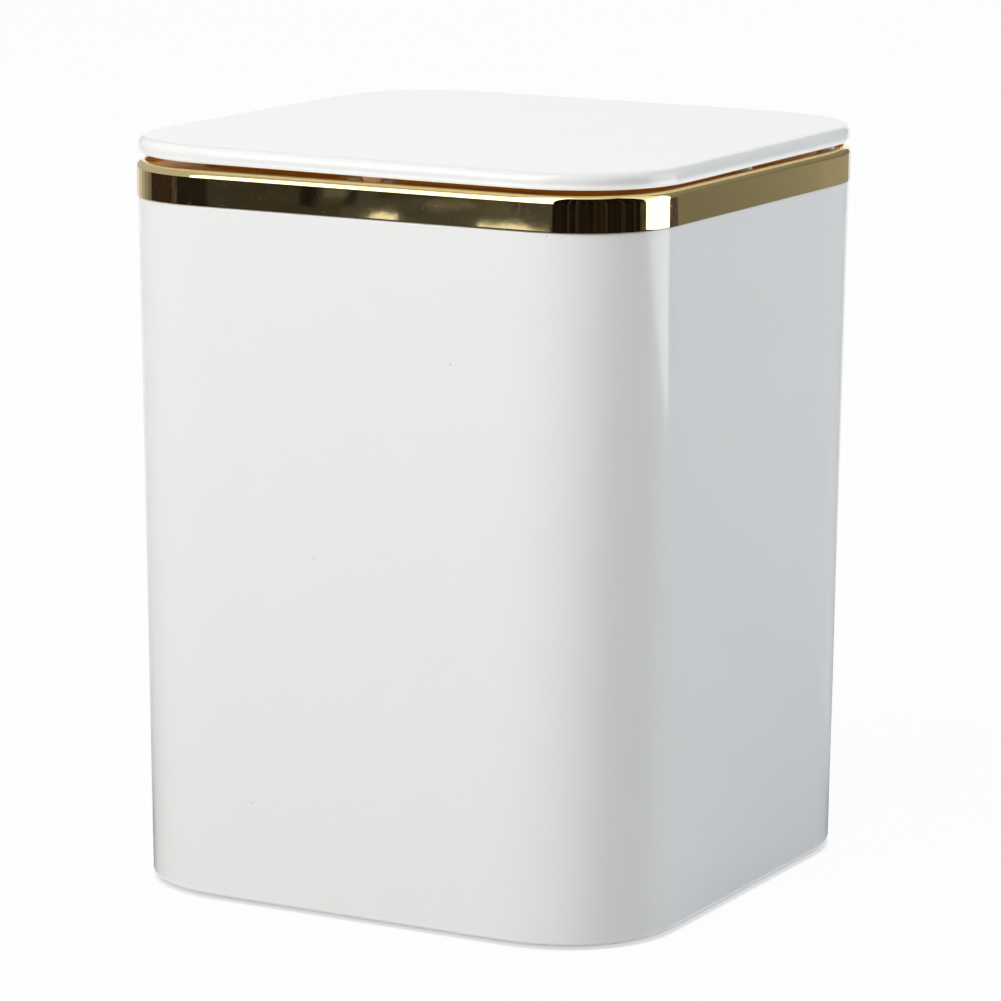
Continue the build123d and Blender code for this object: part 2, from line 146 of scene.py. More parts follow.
def solid_mesh(name, points, faces):
    """A closed mesh from points in millimetres: doubles merged, every face outwards."""
    mesh = bpy.data.meshes.new(name)
    mesh.from_pydata((points.reshape(-1, 3) * MM).tolist(), [], faces)
    return mend(mesh)


def table_mesh(name, points, wrap_rows=False):
    """A closed mesh from a table of points whose shape is (rows, columns, 3)."""
    return solid_mesh(name, points, table_faces(*points.shape[:2], wrap_rows))


def sheet_mesh(name, points):
    """An open sheet from a table of points in metres."""
    mesh = bpy.data.meshes.new(name)
    mesh.from_pydata(points.reshape(-1, 3).tolist(), [], table_faces(*points.shape[:2], wrap_columns=False))
    return mesh


def add(name, data):
    """Puts an object with this mesh, lamp or lens in the scene, at the origin."""
    thing = bpy.data.objects.new(name, data)
    bpy.context.scene.collection.objects.link(thing)
    return thing


SHARP = math.radians(40)


def smooth(mesh):
    """Shades a mesh smoothly, except across its sharp edges."""
    mesh.shade_smooth()
    mesh.set_sharp_from_angle(angle=SHARP)


def place(mesh):
    """Puts a mesh in the scene as a piece of the same name."""
    smooth(mesh)
    return add(mesh.name, mesh)


# %% [markdown]
# The bin, its ring and its lid share one outline: a square with large soft corners. A plain arc starts
# and stops its curve suddenly, and a mirror finish shows that as a kink in the reflection. So each corner
# is a superellipse, whose curve grows and fades gently, and that cuts the diagonal where the arc does.

# %% The shared outline
SOFTNESS, BASE_SOFTNESS = 2.36, 2.53
LEAST_CORNER = 0.14  # the least corner radius, as a share of the half width
CORNER_STEPS, SIDE_STEPS = 40, 8
TURN_LENGTH = 4 * (SIDE_STEPS + CORNER_STEPS)


def soft_corner(softness):
    """Points (cos t ** (2/p), sin t ** (2/p)) of a quarter superellipse with power p.

    The outline's normal turns by equal steps, for which tan t = tan(normal) ** (p / (2 (p - 1))).
    """
    normal = np.linspace(0, math.pi / 2, CORNER_STEPS + 1)[1:-1]
    turn = np.arctan(np.tan(normal) ** (softness / (2 * (softness - 1))))
    points = np.stack([np.cos(turn), np.sin(turn)], 1) ** (2 / softness)
    return np.vstack([[1.0, 0.0], points, [0.0, 1.0]])


def outline(half, radius, softness=SOFTNESS):
    """One turn of the outline, as (x, y) rows: four soft corners joined by straight sides.

    A corner reaches further along the sides than an arc of this radius, to cut the diagonal where the
    arc does: reach = radius (1 - sqrt(1/2)) / (1 - (1/2) ** (1/p)).
    """
    reach = min(radius * (1 - math.sqrt(0.5)) / (1 - 0.5 ** (1 / softness)), half * 0.98)
    corner = (half - reach) + soft_corner(softness) * reach
    along = np.linspace(-(half - reach), half - reach, SIDE_STEPS + 1)[1:-1]
    quarter = np.vstack([np.stack([np.full_like(along, half), along], 1), corner])
    turns = [np.array([[c, s], [-s, c]]) for c, s in ((1, 0), (0, 1), (-1, 0), (0, -1))]
    return np.vstack([quarter @ turn for turn in turns])


print("points in one turn of the outline:", len(outline(RING_HALF, RING_CORNER)))

# %% [markdown]
# The other half of each surface is its profile, the cut that a saw would show, written as corner points
# with a radius each. This helper swaps every corner for a small arc, because no moulded edge is truly
# sharp and the arcs catch the light. A point just beyond each arc keeps its shading off the flat face.


# %% Profiles with rounded corners
def rounded(corners, closed=True, steps=5, hold=0.2):
    """Replaces each (a, b, radius) corner by an arc that touches both of its sides.

    The arc's middle lies on the line that halves the corner, radius / sin(half the angle) away.
    """
    points = np.array([corner[:2] for corner in corners], float)
    radii = np.array([corner[2] for corner in corners], float)
    if not closed:
        radii[[0, -1]] = 0
    back, ahead = np.roll(points, 1, 0) - points, np.roll(points, -1, 0) - points
    room = np.linalg.norm(ahead, axis=1)
    back, ahead = back / np.roll(room, 1)[:, None], ahead / room[:, None]
    half_angle = np.arccos(np.clip(np.sum(back * ahead, 1), -1, 1)) / 2
    tangent = radii / np.tan(half_angle)
    spare = room - tangent - np.roll(tangent, -1)
    pieces = []
    for i, radius in enumerate(radii):
        if radius <= 0:
            pieces.append(points[i][None])
            continue
        across = (back[i] + ahead[i]) / np.linalg.norm(back[i] + ahead[i])
        middle = points[i] + across * radius / math.sin(half_angle[i])
        start = points[i] + back[i] * tangent[i] - middle
        end = points[i] + ahead[i] * tangent[i] - middle
        share = np.linspace(0, 1, steps + 1)[:, None]
        sweep = math.pi - 2 * half_angle[i]
        arc = middle + (np.sin((1 - share) * sweep) * start + np.sin(share * sweep) * end) / math.sin(sweep)
        first = [arc[0] + back[i] * hold] if spare[i - 1] > 3 * hold else []
        last = [arc[-1] + ahead[i] * hold] if spare[i] > 3 * hold else []
        pieces.append(np.vstack([*first, arc, *last]))
    return np.vstack(pieces)


def flat(height, *halves):
    """Corners without a radius, which give a wide flat face of a profile its inner rows."""
    return [(half, height, 0) for half in halves]


def around(profile, corner_at):
    """Carries a profile of (half width, height) rows round the outline, as a table of points."""
    rows = []
    for half, height in profile:
        rows.append(np.column_stack([outline(half, *corner_at(half, height)), np.full(TURN_LENGTH, height)]))
    return np.stack(rows)


def parallel(half, height):
    """Radius and softness of the corner of an outline that runs parallel to the ring's outside."""
    return max(RING_CORNER - (RING_HALF - half), LEAST_CORNER * half), SOFTNESS


# %% [markdown]
# Feet, bumpers, pins and eyes are turned about an axis. Springs and the cam pin are a round wire along a
# path. Latch pieces are flat shapes with a thickness, whose rims are rounded.


# %% Turned pieces, wires and flat shapes
def turned(name, corners, middle, axis=Z, steps=6, spokes=48):
    """(radius, position, rounding) corners turned about a line along axis through middle."""
    profile = rounded(corners, closed=False, steps=steps, hold=0.05)
    angle = np.linspace(0, 2 * math.pi, spokes, endpoint=False)
    radius = profile[:, :1]
    points = np.zeros((len(profile), spokes, 3))
    first, second = [i for i in (X, Y, Z) if i != axis]
    points[..., first] = middle[0] + radius * np.cos(angle)
    points[..., second] = middle[1] + radius * np.sin(angle)
    points[..., axis] = profile[:, 1:]
    return table_mesh(name, points)


def rod_mesh(name, radius, start, end, middle, axis, edge=0.15, spokes=40):
    """A round bar along an axis, with rounded ends."""
    corners = [(0, start, 0), (radius, start, edge), (radius, end, edge), (0, end, 0)]
    return turned(name, corners, middle, axis, steps=3, spokes=spokes)


def wire_mesh(name, path, radius, across, sides=12):
    """A round wire along an open path: path + radius (cos a first + sin a second).

    first is the part of across that is square to the path, and second is square to both.
    """
    along = np.gradient(path, axis=0)
    along /= np.linalg.norm(along, axis=1, keepdims=True)
    first = across - (along @ across)[:, None] * along
    first /= np.linalg.norm(first, axis=1, keepdims=True)
    second = np.cross(along, first)
    angle = np.linspace(0, 2 * math.pi, sides, endpoint=False)[None, :, None]
    skin = path[:, None] + radius * (np.cos(angle) * first[:, None] + np.sin(angle) * second[:, None])
    ends = [np.repeat(path[i][None, None], sides, 1) for i in (0, -1)]
    return table_mesh(name, np.vstack([ends[0], skin, ends[1]]))


def plate_mesh(name, corners, axis, start, end, edge=0.2, steps=4):
    """A flat shape with a thickness along axis, from (a, b, radius) corners.

    Its rim is a quarter circle at each face: the outline moves in by edge (1 - sin a) while it moves
    along the axis by edge (1 - cos a).
    """
    shape = rounded(corners, steps=steps, hold=0.08)
    before, after = np.roll(shape, 1, 0), np.roll(shape, -1, 0)
    outward = (after - before)[:, ::-1] * [1, -1]
    outward /= np.maximum(np.linalg.norm(outward, axis=1, keepdims=True), 1e-9)
    outward *= np.sign(np.sum(shape[:, 0] * after[:, 1] - shape[:, 1] * after[:, 0]))
    angle = np.linspace(0, math.pi / 2, steps + 1)
    inset, rise = edge * (1 - np.sin(angle)), edge * (1 - np.cos(angle))
    inset = np.concatenate([inset, inset[::-1]])
    spot = np.concatenate([start + rise, (end - rise)[::-1]])
    points = np.zeros((len(inset), len(shape), 3))
    first, second = [i for i in (X, Y, Z) if i != axis]
    rows = shape[None] - inset[:, None, None] * outward[None]
    points[..., first], points[..., second], points[..., axis] = rows[..., 0], rows[..., 1], spot[:, None]
    count = len(shape)
    caps = [list(range(count)), list(range((len(inset) - 1) * count, len(inset) * count))]
    return solid_mesh(name, points, table_faces(len(inset), count) + caps)


# %% [markdown]
# Holes, notches and ears break a surface that is otherwise one clean grid. They are cut or joined with
# Boolean modifiers, applied at once, so that the finished piece is a plain mesh.


# %% Joining and cutting
def box_mesh(x, y, z, edge=0.0):
    """A block given by its (low, high) limits, with rounded upright edges where edge is given."""
    corners = [(x[0], y[0], edge), (x[1], y[0], edge), (x[1], y[1], edge), (x[0], y[1], edge)]
    return plate_mesh("block", corners, Z, z[0], z[1], edge=max(edge, 1e-3), steps=2)


def combine(piece, meshes, operation):
    """Cuts or joins each of these meshes to the piece."""
    for mesh in meshes:
        helper = add("helper", mesh)
        step = piece.modifiers.new("step", "BOOLEAN")
        step.operation, step.object, step.solver = operation, helper, "EXACT"
        bpy.context.view_layer.update()
        done = bpy.data.meshes.new_from_object(piece.evaluated_get(bpy.context.evaluated_depsgraph_get()))
        piece.modifiers.clear()
        old, piece.data = piece.data, done
        bpy.data.objects.remove(helper)
        bpy.data.meshes.remove(mesh)
        bpy.data.meshes.remove(old)
    piece.data.name = piece.name
    smooth(mend(piece.data))


# %% [markdown]
# Shader maths reads best as arithmetic. Wire wraps an output socket and overloads the operators, so that
# 0.1 + 0.05 * grain adds its own Math nodes. Finish holds one material, and its node method makes any
# other node from its type, its settings and its sockets.


# %% Shader expressions
FAR = 10


class Wire:
    """One output socket, which can be added, multiplied and so on."""

    def __init__(self, finish, socket):
        self.finish, self.socket = finish, socket

    def maths(self, operation, first, second):
        return self.finish.node("Math", {"operation": operation}, {0: first, 1: second})

    def __add__(self, other):
        return self.maths("ADD", self, other)

    def __sub__(self, other):
        return self.maths("SUBTRACT", self, other)

    def __rsub__(self, other):
        return self.maths("SUBTRACT", other, self)

    def __mul__(self, other):
        return self.maths("MULTIPLY", self, other)

    def __gt__(self, other):
        return self.maths("GREATER_THAN", self, other)

    __radd__, __rmul__ = __add__, __mul__


class Finish:
    """One material, light or world tree, and the nodes in it."""

    def __init__(self, name, owner=None):
        self.owner = owner or bpy.data.materials.new(name)
        self.owner.use_nodes = True
        self.tree = self.owner.node_tree
        self.tree.nodes.clear()

    def node(self, kind, settings=None, sockets=None, output=0):
        """Adds a node, sets it up, then fills its sockets from values or wires."""
        made = self.tree.nodes.new("ShaderNode" + kind)
        for key, value in (settings or {}).items():
            setattr(made, key, value)
        for key, value in (sockets or {}).items():
            if isinstance(value, Wire):
                self.tree.links.new(value.socket, made.inputs[key])
            else:
                made.inputs[key].default_value = value
        return Wire(self, made.outputs[output]) if made.outputs else None

    def spot(self):
        """Where a point lies on the piece, in metres."""
        return self.node("TexCoord", output=3)

    def stretched(self, scale):
        """The same, for a pattern that is drawn out along an axis whose scale is below 1."""
        return self.node("Mapping", sockets={"Vector": self.spot(), "Scale": scale})

    def noise(self, scale, detail=2.0, rough=0.5, where=None):
        """Cloudy noise from 0 to 1, with this many waves in a metre."""
        sockets = {"Vector": where or self.spot(), "Scale": scale, "Detail": detail, "Roughness": rough}
        return self.node("TexNoise", sockets=sockets)

    def blend(self, share, first, second):
        """A colour between two colours."""
        return self.node("Mix", {"data_type": "RGBA"}, {0: share, 6: first, 7: second}, output=2)

    def dots(self, scale, radius):
        """Rare round dots of this radius in metres: 1 where the nearest random point is close."""
        distance = self.node("TexVoronoi", {"feature": "F1"}, {"Vector": self.spot(), "Scale": scale})
        return 1 - (distance > radius * scale)

    def between(self, value, start, end):
        """0 where a value is below start, 1 where it is above end."""
        return self.node("Clamp", sockets={0: (value - start) * (1 / (end - start))})

    def beyond(self, half, corner, edge=0.0003):
        """0 inside an upright rounded-square wall, 1 outside, from |(|x|, |y|) - centre| - corner.

        The height drops out, because a centre FAR above every point leaves it below 0.
        """
        centre, corner = (half - corner) * MM, corner * MM
        past = self.node("VectorMath", {"operation": "ABSOLUTE"}, {0: self.spot()})
        past = self.node("VectorMath", {"operation": "SUBTRACT"}, {0: past, 1: (centre, centre, FAR)})
        past = self.node("VectorMath", {"operation": "MAXIMUM"}, {0: past, 1: (0, 0, 0)})
        reach = self.node("VectorMath", {"operation": "LENGTH"}, {0: past}, output=1)
        return self.between(reach, corner - edge / 2, corner + edge / 2)

    def rise(self, bottom, top):
        """0 below one height in millimetres, 1 above another."""
        height = self.node("SeparateXYZ", sockets={0: self.spot()}, output=2)
        return self.between(height, bottom * MM, top * MM)

    def bump(self, height, distance):
        """A normal bent by a height from 0 to 1, which stands for this distance in metres."""
        return self.node("Bump", sockets={"Height": height, "Distance": distance, "Strength": 1.0})

    def surface(self, shader, kind="Material"):
        """Ends the tree in its output."""
        self.node("Output" + kind, sockets={"Surface": shader})
        return self.owner

    def principled(self, sockets):
        """Ends the tree in a principled shader with these sockets."""
        return self.surface(self.node("BsdfPrincipled", sockets=sockets))


def paint(*linear):
    """A colour socket's value from linear red, green and blue."""
    return (*linear, 1.0)


def glowing(shade):
    """The sockets of a faint glow of this colour."""
    return {"Emission Color": shade, "Emission Strength": 1.0}


BLACK, WHITE = paint(0, 0, 0), paint(1, 1, 1)
print("a colour socket takes", BLACK, "to", WHITE)

# %% [markdown]
# Gloss white moulded plastic covers the body and the lid. It has three things that a flat colour lacks: a
# faint waviness in the reflections, tiny specks, and handling marks that dull the gloss by a few percent.
# All are noise in metres, so they have the same size on each piece. The lowest two millimetres of the body
# are scuffed dull. The lid's underside gets a faint glow, for light off the ring that a renderer loses.


# %% Gloss white plastic
SHELL_TONE, SPECK_TONE = (0.86, 0.865, 0.85), (0.42, 0.40, 0.36)
SCUFF = (0.6, 2.2)
LID_SHADE = (LID_UNDER - 0.2, LID_UNDER + 0.9)


def gloss_white(name, glow=0.0):
    """White plastic, scuffed below the heights of SCUFF, that may glow below those of LID_SHADE."""
    look = Finish(name)
    cloud = look.noise(14, detail=3)
    specks = look.dots(85, 0.00022)
    wave = look.noise(70, detail=1)
    peel = look.noise(650, detail=2)
    smudge = look.noise(38, detail=6, rough=0.62)
    tint = look.blend(cloud, paint(*SHELL_TONE), paint(*(0.985 * c for c in SHELL_TONE)))
    sockets = {
        "Base Color": look.blend(0.6 * specks, tint, paint(*SPECK_TONE)),
        "Roughness": 0.085 + 0.05 * smudge + 0.12 * specks + 0.5 * (1 - look.rise(*SCUFF)),
        "IOR": 1.5,
        "Normal": look.bump(wave + 0.05 * peel, 0.00003),
    }
    if glow:
        warm = paint(glow, 0.96 * glow, 0.86 * glow)
        sockets.update(glowing(look.blend(look.rise(*LID_SHADE), warm, BLACK)))
    return look.principled(sockets)


gloss, lid_gloss = gloss_white("gloss_white"), gloss_white("gloss_white_lid", glow=0.30)
print("finishes:", gloss.name, lid_gloss.name)

# %% [markdown]
# The ring is plastic with a bright gold plating, a metal to the eye: its colour is in its reflection. It
# follows every ripple of the moulding, so broad waves bend the reflections and a fine haze dulls them a
# little in places. In the recess behind the band the plating is amber and duller: partly a thinner deposit,
# and partly painted amber shade for the light that bounces between the gold and the lid. A faint glow there
# stands for light that is trapped below the lid, which the few bounces of a renderer lose.


# %% Gold plating
BAND_EDGE = 0.25


def plated_gold():
    """Bright plating on the band, and in the recess behind it a thinner, duller deposit with painted amber
    light.
    """
    look = Finish("gold_plating")
    wave = look.noise(45, detail=2)
    ripple = look.noise(260, detail=2)
    haze = look.noise(60, detail=5, rough=0.6)
    pits = look.noise(3200, detail=0) > 0.80
    bright = {
        "Base Color": look.blend(haze, paint(0.93, 0.76, 0.385), paint(0.90, 0.725, 0.35)),
        "Metallic": 1.0,
        "Roughness": 0.014 + 0.025 * haze + 0.2 * pits,
        "Normal": look.bump(wave + 0.10 * ripple, 0.000014),
    }
    # the recess: a thinner deposit, whose amber colour and glow are painted light bounced between the gold
    # and the lid
    thin_deposit_and_painted_amber = {
        "Base Color": look.blend(haze, paint(0.86, 0.55, 0.15), paint(0.78, 0.47, 0.11)),
        "Metallic": 0.65,
        "Roughness": 0.34 + 0.10 * haze,
        "Specular IOR Level": 0.15,
        "Normal": look.bump(ripple, 0.00004),
        **glowing(look.blend(haze, paint(0.062, 0.0195, 0.001), paint(0.034, 0.0085, 0.0004))),
    }
    band = look.beyond(DECK_HALF + BAND_EDGE, RING_CORNER - RING_WALL + BAND_EDGE)
    layers = [look.node("BsdfPrincipled", sockets=sockets) for sockets in (thin_deposit_and_painted_amber, bright)]
    return look.surface(look.node("MixShader", sockets={0: band, 1: layers[0], 2: layers[1]}))


gold = plated_gold()
print("finish:", gold.name)

# %% [markdown]
# The pieces inside are satin mouldings, whose spark eroded moulds leave a fine even grain. Nylon is alike,
# but a little warmer and more waxy. The striker's pinkish tone and faint glow are painted light: the warm
# light off the gold that reaches it through the gap. One function makes them all from a colour, a gloss
# and a grain. The inner side of the collar gets the amber glow of light off the gold deck.


# %% Satin plastics and rubber
def satin(name, tone, gloss, grain_size, depth, extra=None, within=None):
    """A grained plastic, with extra sockets. Its glow may be kept within an upright (half, corner) wall."""
    look = Finish(name)
    grain = look.noise(1 / grain_size, detail=3, rough=0.6)
    cloud = look.noise(40, detail=2)
    tint = look.blend(cloud, paint(*tone), paint(*(0.93 * c for c in tone)))
    sockets = {
        "Base Color": tint,
        "Roughness": gloss - 0.06 + 0.12 * grain,
        "Normal": look.bump(grain, depth),
    }
    sockets.update(extra or {})
    if within:
        sockets["Emission Color"] = look.blend(look.beyond(*within), sockets["Emission Color"], BLACK)
    return look.principled(sockets)


COLLAR_PLAY, COLLAR_WALL = 0.4, 1.6
COLLAR_HALF = BODY_HALF - BODY_WALL - COLLAR_PLAY
collar_middle = COLLAR_HALF - COLLAR_WALL / 2
collar_inside = (collar_middle, RING_CORNER - (RING_HALF - collar_middle))
collar_glow = glowing(paint(0.078, 0.024, 0.0008))
INNER_WHITE = ((0.80, 0.80, 0.775), 0.42, 0.0004, 0.00002)
satin_white = satin("satin_white", *INNER_WHITE)
collar_white = satin("collar_white", *INNER_WHITE, collar_glow, collar_inside)
white_nylon = satin("white_nylon", (0.76, 0.73, 0.68), 0.40, 0.0005, 0.00002)
grey_nylon = satin("grey_nylon", (0.12, 0.12, 0.125), 0.45, 0.0005, 0.00003)
# the striker's pinkish tone and its glow are painted warm light off the gold, which reaches it through the
# gap
striker_painted_glow = glowing(paint(0.15, 0.092, 0.055))
striker_nylon_painted_warm = satin("striker_nylon_painted_warm", (0.82, 0.67, 0.56), 0.30, 0.0005, 0.00002, striker_painted_glow)
grey_rubber = satin("grey_rubber", (0.52, 0.52, 0.51), 0.75, 0.0003, 0.00004)
silicone = {"Transmission Weight": 0.2, "IOR": 1.41}
clear_rubber = satin("clear_rubber", (0.86, 0.86, 0.83), 0.22, 0.0010, 0.00001, silicone)
print("satin finishes made")

# %% [markdown]
# Screws are bright zinc-plated steel, and the springs and the cam pin are drawn steel wire. Wire has fine
# lines along it from the die. Stretching the noise gives lines, here along the bin's width.


# %% Steels
def steel(name, tone, gloss, stretch):
    """A metal with fine noise. A stretch below 1 draws the noise out into lines along that axis."""
    look = Finish(name)
    lines = look.noise(900, detail=3, where=look.stretched(stretch))
    stain = look.noise(120, detail=3)
    tint = look.blend(stain, paint(*tone), paint(*(0.82 * c for c in tone)))
    sockets = {
        "Base Color": tint,
        "Metallic": 1.0,
        "Roughness": gloss - 0.05 + 0.14 * lines,
        "Normal": look.bump(lines, 0.00001),
    }
    return look.principled(sockets)


zinc_steel = steel("zinc_steel", (0.72, 0.72, 0.74), 0.34, (1, 1, 1))
wire_steel = steel("wire_steel", (0.48, 0.48, 0.50), 0.32, (0.15, 1, 1))
print("steels made")


# %% Giving a piece its finish and its body
def dress(piece, finish):
    """Gives a piece one finish."""
    piece.data.materials.clear()
    piece.data.materials.append(finish)


def stand_in(piece, node, body, finish):
    """A finished piece: it rides on a body and is seen instead of its solid."""
    dress(piece, finish)
    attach(piece, body)
    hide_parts(node)
    print(f"{piece.name}: {len(piece.data.polygons)} faces in place of {node}")


# %% [markdown]
# The body is one thin-walled moulding, a little narrower at the foot, because a mould needs draft. Its
# corner also grows softer towards the foot. One profile carried round the outline gives the wall, both
# fillets and the inside as a closed surface, from the middle of the underside to that of the inner floor.


# %% Body
def body_corner(half, height):
    """The corner at a height: its radius, less the point's depth inside the outer wall, and its softness."""
    share = (height - BODY_BASE) / (BODY_RIM - BODY_BASE)
    outer = BODY_HALF - BODY_TAPER * (1 - share)
    radius = BASE_CORNER + (RING_CORNER - BASE_CORNER) * share - (outer - half)
    return max(radius, LEAST_CORNER * half), BASE_SOFTNESS + (SOFTNESS - BASE_SOFTNESS) * share


FOOT_HALF, INNER_FLOOR = BODY_HALF - BODY_TAPER, BODY_BASE + BODY_FLOOR
inner_foot = FOOT_HALF - BODY_WALL + BODY_TAPER * BODY_FLOOR / (BODY_RIM - BODY_BASE)
corners = [
    *flat(BODY_BASE, 0, 20, 45),
    (FOOT_HALF, BODY_BASE, BASE_FILLET),
    (BODY_HALF, BODY_RIM, 0.35),
    (BODY_HALF - BODY_WALL, BODY_RIM, 0.35),
    (inner_foot, INNER_FLOOR, 1.5),
    *flat(INNER_FLOOR, 45, 20, 0),
]
body = place(table_mesh("body", around(rounded(corners, closed=False, steps=7, hold=0.4), body_corner)))
stand_in(body, "body_shell", "bin_body", gloss)

# %% [markdown]
# Four soft rubber feet are let into the underside of the body. Each is a turned disc with a rounded rim
# and a shallow dimple, which is how a moulded foot grips.

# %% Feet
DIMPLE, DIMPLE_IN, DIMPLE_OUT = 0.25, 3.2, 3.6
for spot in ("front_left", "front_right", "rear_left", "rear_right"):
    node, name = f"foot_{spot}", f"pad_{spot}"
    top, edge = high(node, Z), high(node, X) - mid(node, X)
    dimple = [(0, DIMPLE, 0), (DIMPLE_IN, DIMPLE, 0.1), (DIMPLE_OUT, 0, 0.15)]
    corners = [*dimple, (edge, 0, 0.45), (edge, top, 0.15), (0, top, 0)]
    foot = place(turned(name, corners, (mid(node, X), mid(node, Y))))
    stand_in(foot, node, "bin_body", grey_rubber)

# %% [markdown]
# The trim ring is one plated moulding: a bright outer band with a rounded top, a deck sunk below it, and
# a throat that guides what is dropped in. All are one closed profile, written anticlockwise from the foot
# of the outer face. The slight waves that a mirror finish shows are in the gold's normals.


# %% Trim ring
throat_foot, throat_back = DECK_TOP - THROAT_DEPTH, THROAT_HALF + THROAT_WALL
corners = [
    (RING_HALF, BODY_RIM, 0.08),
    (RING_HALF, RING_TOP, RING_EDGE),
    (DECK_HALF, RING_TOP, 0.3),
    (DECK_HALF, DECK_TOP, 0.4),
    (THROAT_HALF, DECK_TOP, 0.8),
    (THROAT_HALF, throat_foot, 0.4),
    (throat_back, throat_foot, 0.4),
    (throat_back, DECK_UNDER, 0.5),
    (DECK_HALF, DECK_UNDER, 0.5),
    (DECK_HALF, BODY_RIM, 0.3),
]
ring_table = around(rounded(corners, steps=8, hold=0.25), parallel)
ring = place(table_mesh("ring", ring_table, wrap_rows=True))

# %% [markdown]
# At the rear the band is notched for the lid's two knuckles, and four ears stand on the deck to hold the
# pins. At the front a slot lets the latch jaws come up. Small bosses under the deck take the collar's
# screws.

# %% Hinge ears, notches, bosses and the latch slot
INNER_EAR, OUTER_EAR, EAR = 14.6, 34.8, 4.0
NOTCH_DEPTH, NOTCH_REACH, PAD_MARGIN, PAD_REACH, PAD_DEPTH = 3.4, 3.5, 0.7, 5.0, 5.5
SCREW_X, SCREW_Y, BOSS = (DECK_HALF + THROAT_HALF + THROAT_WALL) / 2, 28.0, 2.8
SLOT_HALF, SLOT_REACH, COLLAR_DROP = 7.53, 1.6, 0.2
INTO_DECK, EAR_INTO_DECK, PAST = 0.4, 0.5, 3  # how far a piece that is joined, or a cut, passes a face
OVERLAP = 0.03  # keeps the notches and the ears from sharing a plane, which would leave open edges
FRONT, BACK, ROUND = HINGE_Y - KNUCKLE, HINGE_Y + KNUCKLE, KNUCKLE - 0.01
pad_half = OUTER_EAR + EAR + PAD_MARGIN
pad_z = (RING_TOP - PAD_DEPTH, DECK_UNDER + INTO_DECK)
boss_z = (BODY_RIM - COLLAR_DROP, DECK_UNDER + INTO_DECK)
notch_y, notch_z = (HINGE_Y - NOTCH_REACH, RING_HALF + PAST), (RING_TOP - NOTCH_DEPTH, RING_TOP + PAST)
ear_foot, ear_top = DECK_UNDER + EAR_INTO_DECK, HINGE_Z + KNUCKLE
ear = [(FRONT, ear_foot, 0), (BACK, ear_foot, 0), (BACK, ear_top, ROUND), (FRONT, ear_top, ROUND)]
cuts, joins = [], [box_mesh((-pad_half, pad_half), (HINGE_Y - PAD_REACH, RING_HALF - 1), pad_z)]
for sign in (-1, 1):
    notch_x = sorted((sign * (INNER_EAR + EAR + OVERLAP), sign * (OUTER_EAR - OVERLAP)))
    cuts.append(box_mesh(notch_x, notch_y, notch_z))
    for start in (INNER_EAR, OUTER_EAR):
        joins.append(plate_mesh("ear", ear, X, *sorted((sign * start, sign * (start + EAR))), steps=8))
    for y in (-SCREW_Y, SCREW_Y):
        joins.append(rod_mesh("boss", BOSS, *boss_z, (sign * SCREW_X, y), Z))
slot_y = (LATCH_Y - SLOT_REACH, LATCH_Y + SLOT_REACH)
slot = box_mesh((-SLOT_HALF, SLOT_HALF), slot_y, (DECK_UNDER - 1, DECK_TOP + 1), edge=0.4)
combine(ring, cuts, "DIFFERENCE")
combine(ring, joins, "UNION")
combine(ring, [slot], "DIFFERENCE")
stand_in(ring, "trim_ring", "top_frame", gold)

# %% [markdown]
# Behind the band, a white collar plugs the frame into the body: a plate under the deck and a skirt that
# slides inside the wall. It is hidden until the frame is lifted out. Its gap makes room for the latch.

# %% Inner collar
COLLAR_TOP, COLLAR_PLATE, SKIRT, THROAT_PLAY = BODY_RIM - COLLAR_DROP, 2.0, 15.0, 0.3
CASE_REACH, CASE_SCREW, CASE_BOSS = 6.2, 3.25, 2.4
under, inner = COLLAR_TOP - COLLAR_PLATE, THROAT_HALF + THROAT_WALL + THROAT_PLAY
corners = [
    (COLLAR_HALF, COLLAR_TOP, 0.5),
    (inner, COLLAR_TOP, 0.4),
    (inner, under, 0.4),
    (COLLAR_HALF - COLLAR_WALL, under, 0.6),
    (COLLAR_HALF - COLLAR_WALL, under - SKIRT, 0.5),
    (COLLAR_HALF, under - SKIRT, 0.5),
]
collar = place(table_mesh("collar", around(rounded(corners), parallel), wrap_rows=True))
gap_x, boss_x = high("latch_case", X) - CASE_REACH, high("latch_case", X) - CASE_SCREW
boss_z = (COLLAR_TOP - 0.5, COLLAR_TOP + 3.0)
gap = box_mesh((-gap_x, gap_x), (4.0 - BODY_HALF, -THROAT_HALF - 1.1), (COLLAR_TOP - 2.3, COLLAR_TOP + 1))
combine(collar, [gap], "DIFFERENCE")
combine(collar, [rod_mesh("boss", CASE_BOSS, *boss_z, (s * boss_x, LATCH_Y), Z) for s in (-1, 1)], "UNION")
stand_in(collar, "inner_collar", "top_frame", collar_white)

# %% [markdown]
# The lid is a thin white tray turned upside down, with a well rounded edge. It overhangs the ring by a
# hair, and floats above it on the hinge and the latch. That leaves the thin gap that gives the bin its look.


# %% Lid cover and inner panel
LID_INNER = LID_HALF - LID_RIM
LEAN, LEAN_REACH, BOW = (-0.1, -0.5, 0.3), 65, 0.2
PRESS_ANGLE, PRESS_GAP = math.radians(0.47), 0.06


def lid_corner(half, height):
    """The lid's corner is a little rounder than the ring's, and fades into the ring's inside the rim."""
    share = np.clip((half - LID_INNER) / 0.5, 0, 1) if height < PANEL_TOP + 0.01 else 1
    radius = RING_CORNER + share * (LID_CORNER - RING_CORNER) - (RING_HALF - half)
    return max(radius, LEAST_CORNER * half), SOFTNESS


def soft_least(first, second, sharpness):
    """The smaller of two values, blended smoothly: -log(exp(-k a) + exp(-k b)) / k."""
    return -np.logaddexp(-sharpness * first, -sharpness * second) / sharpness


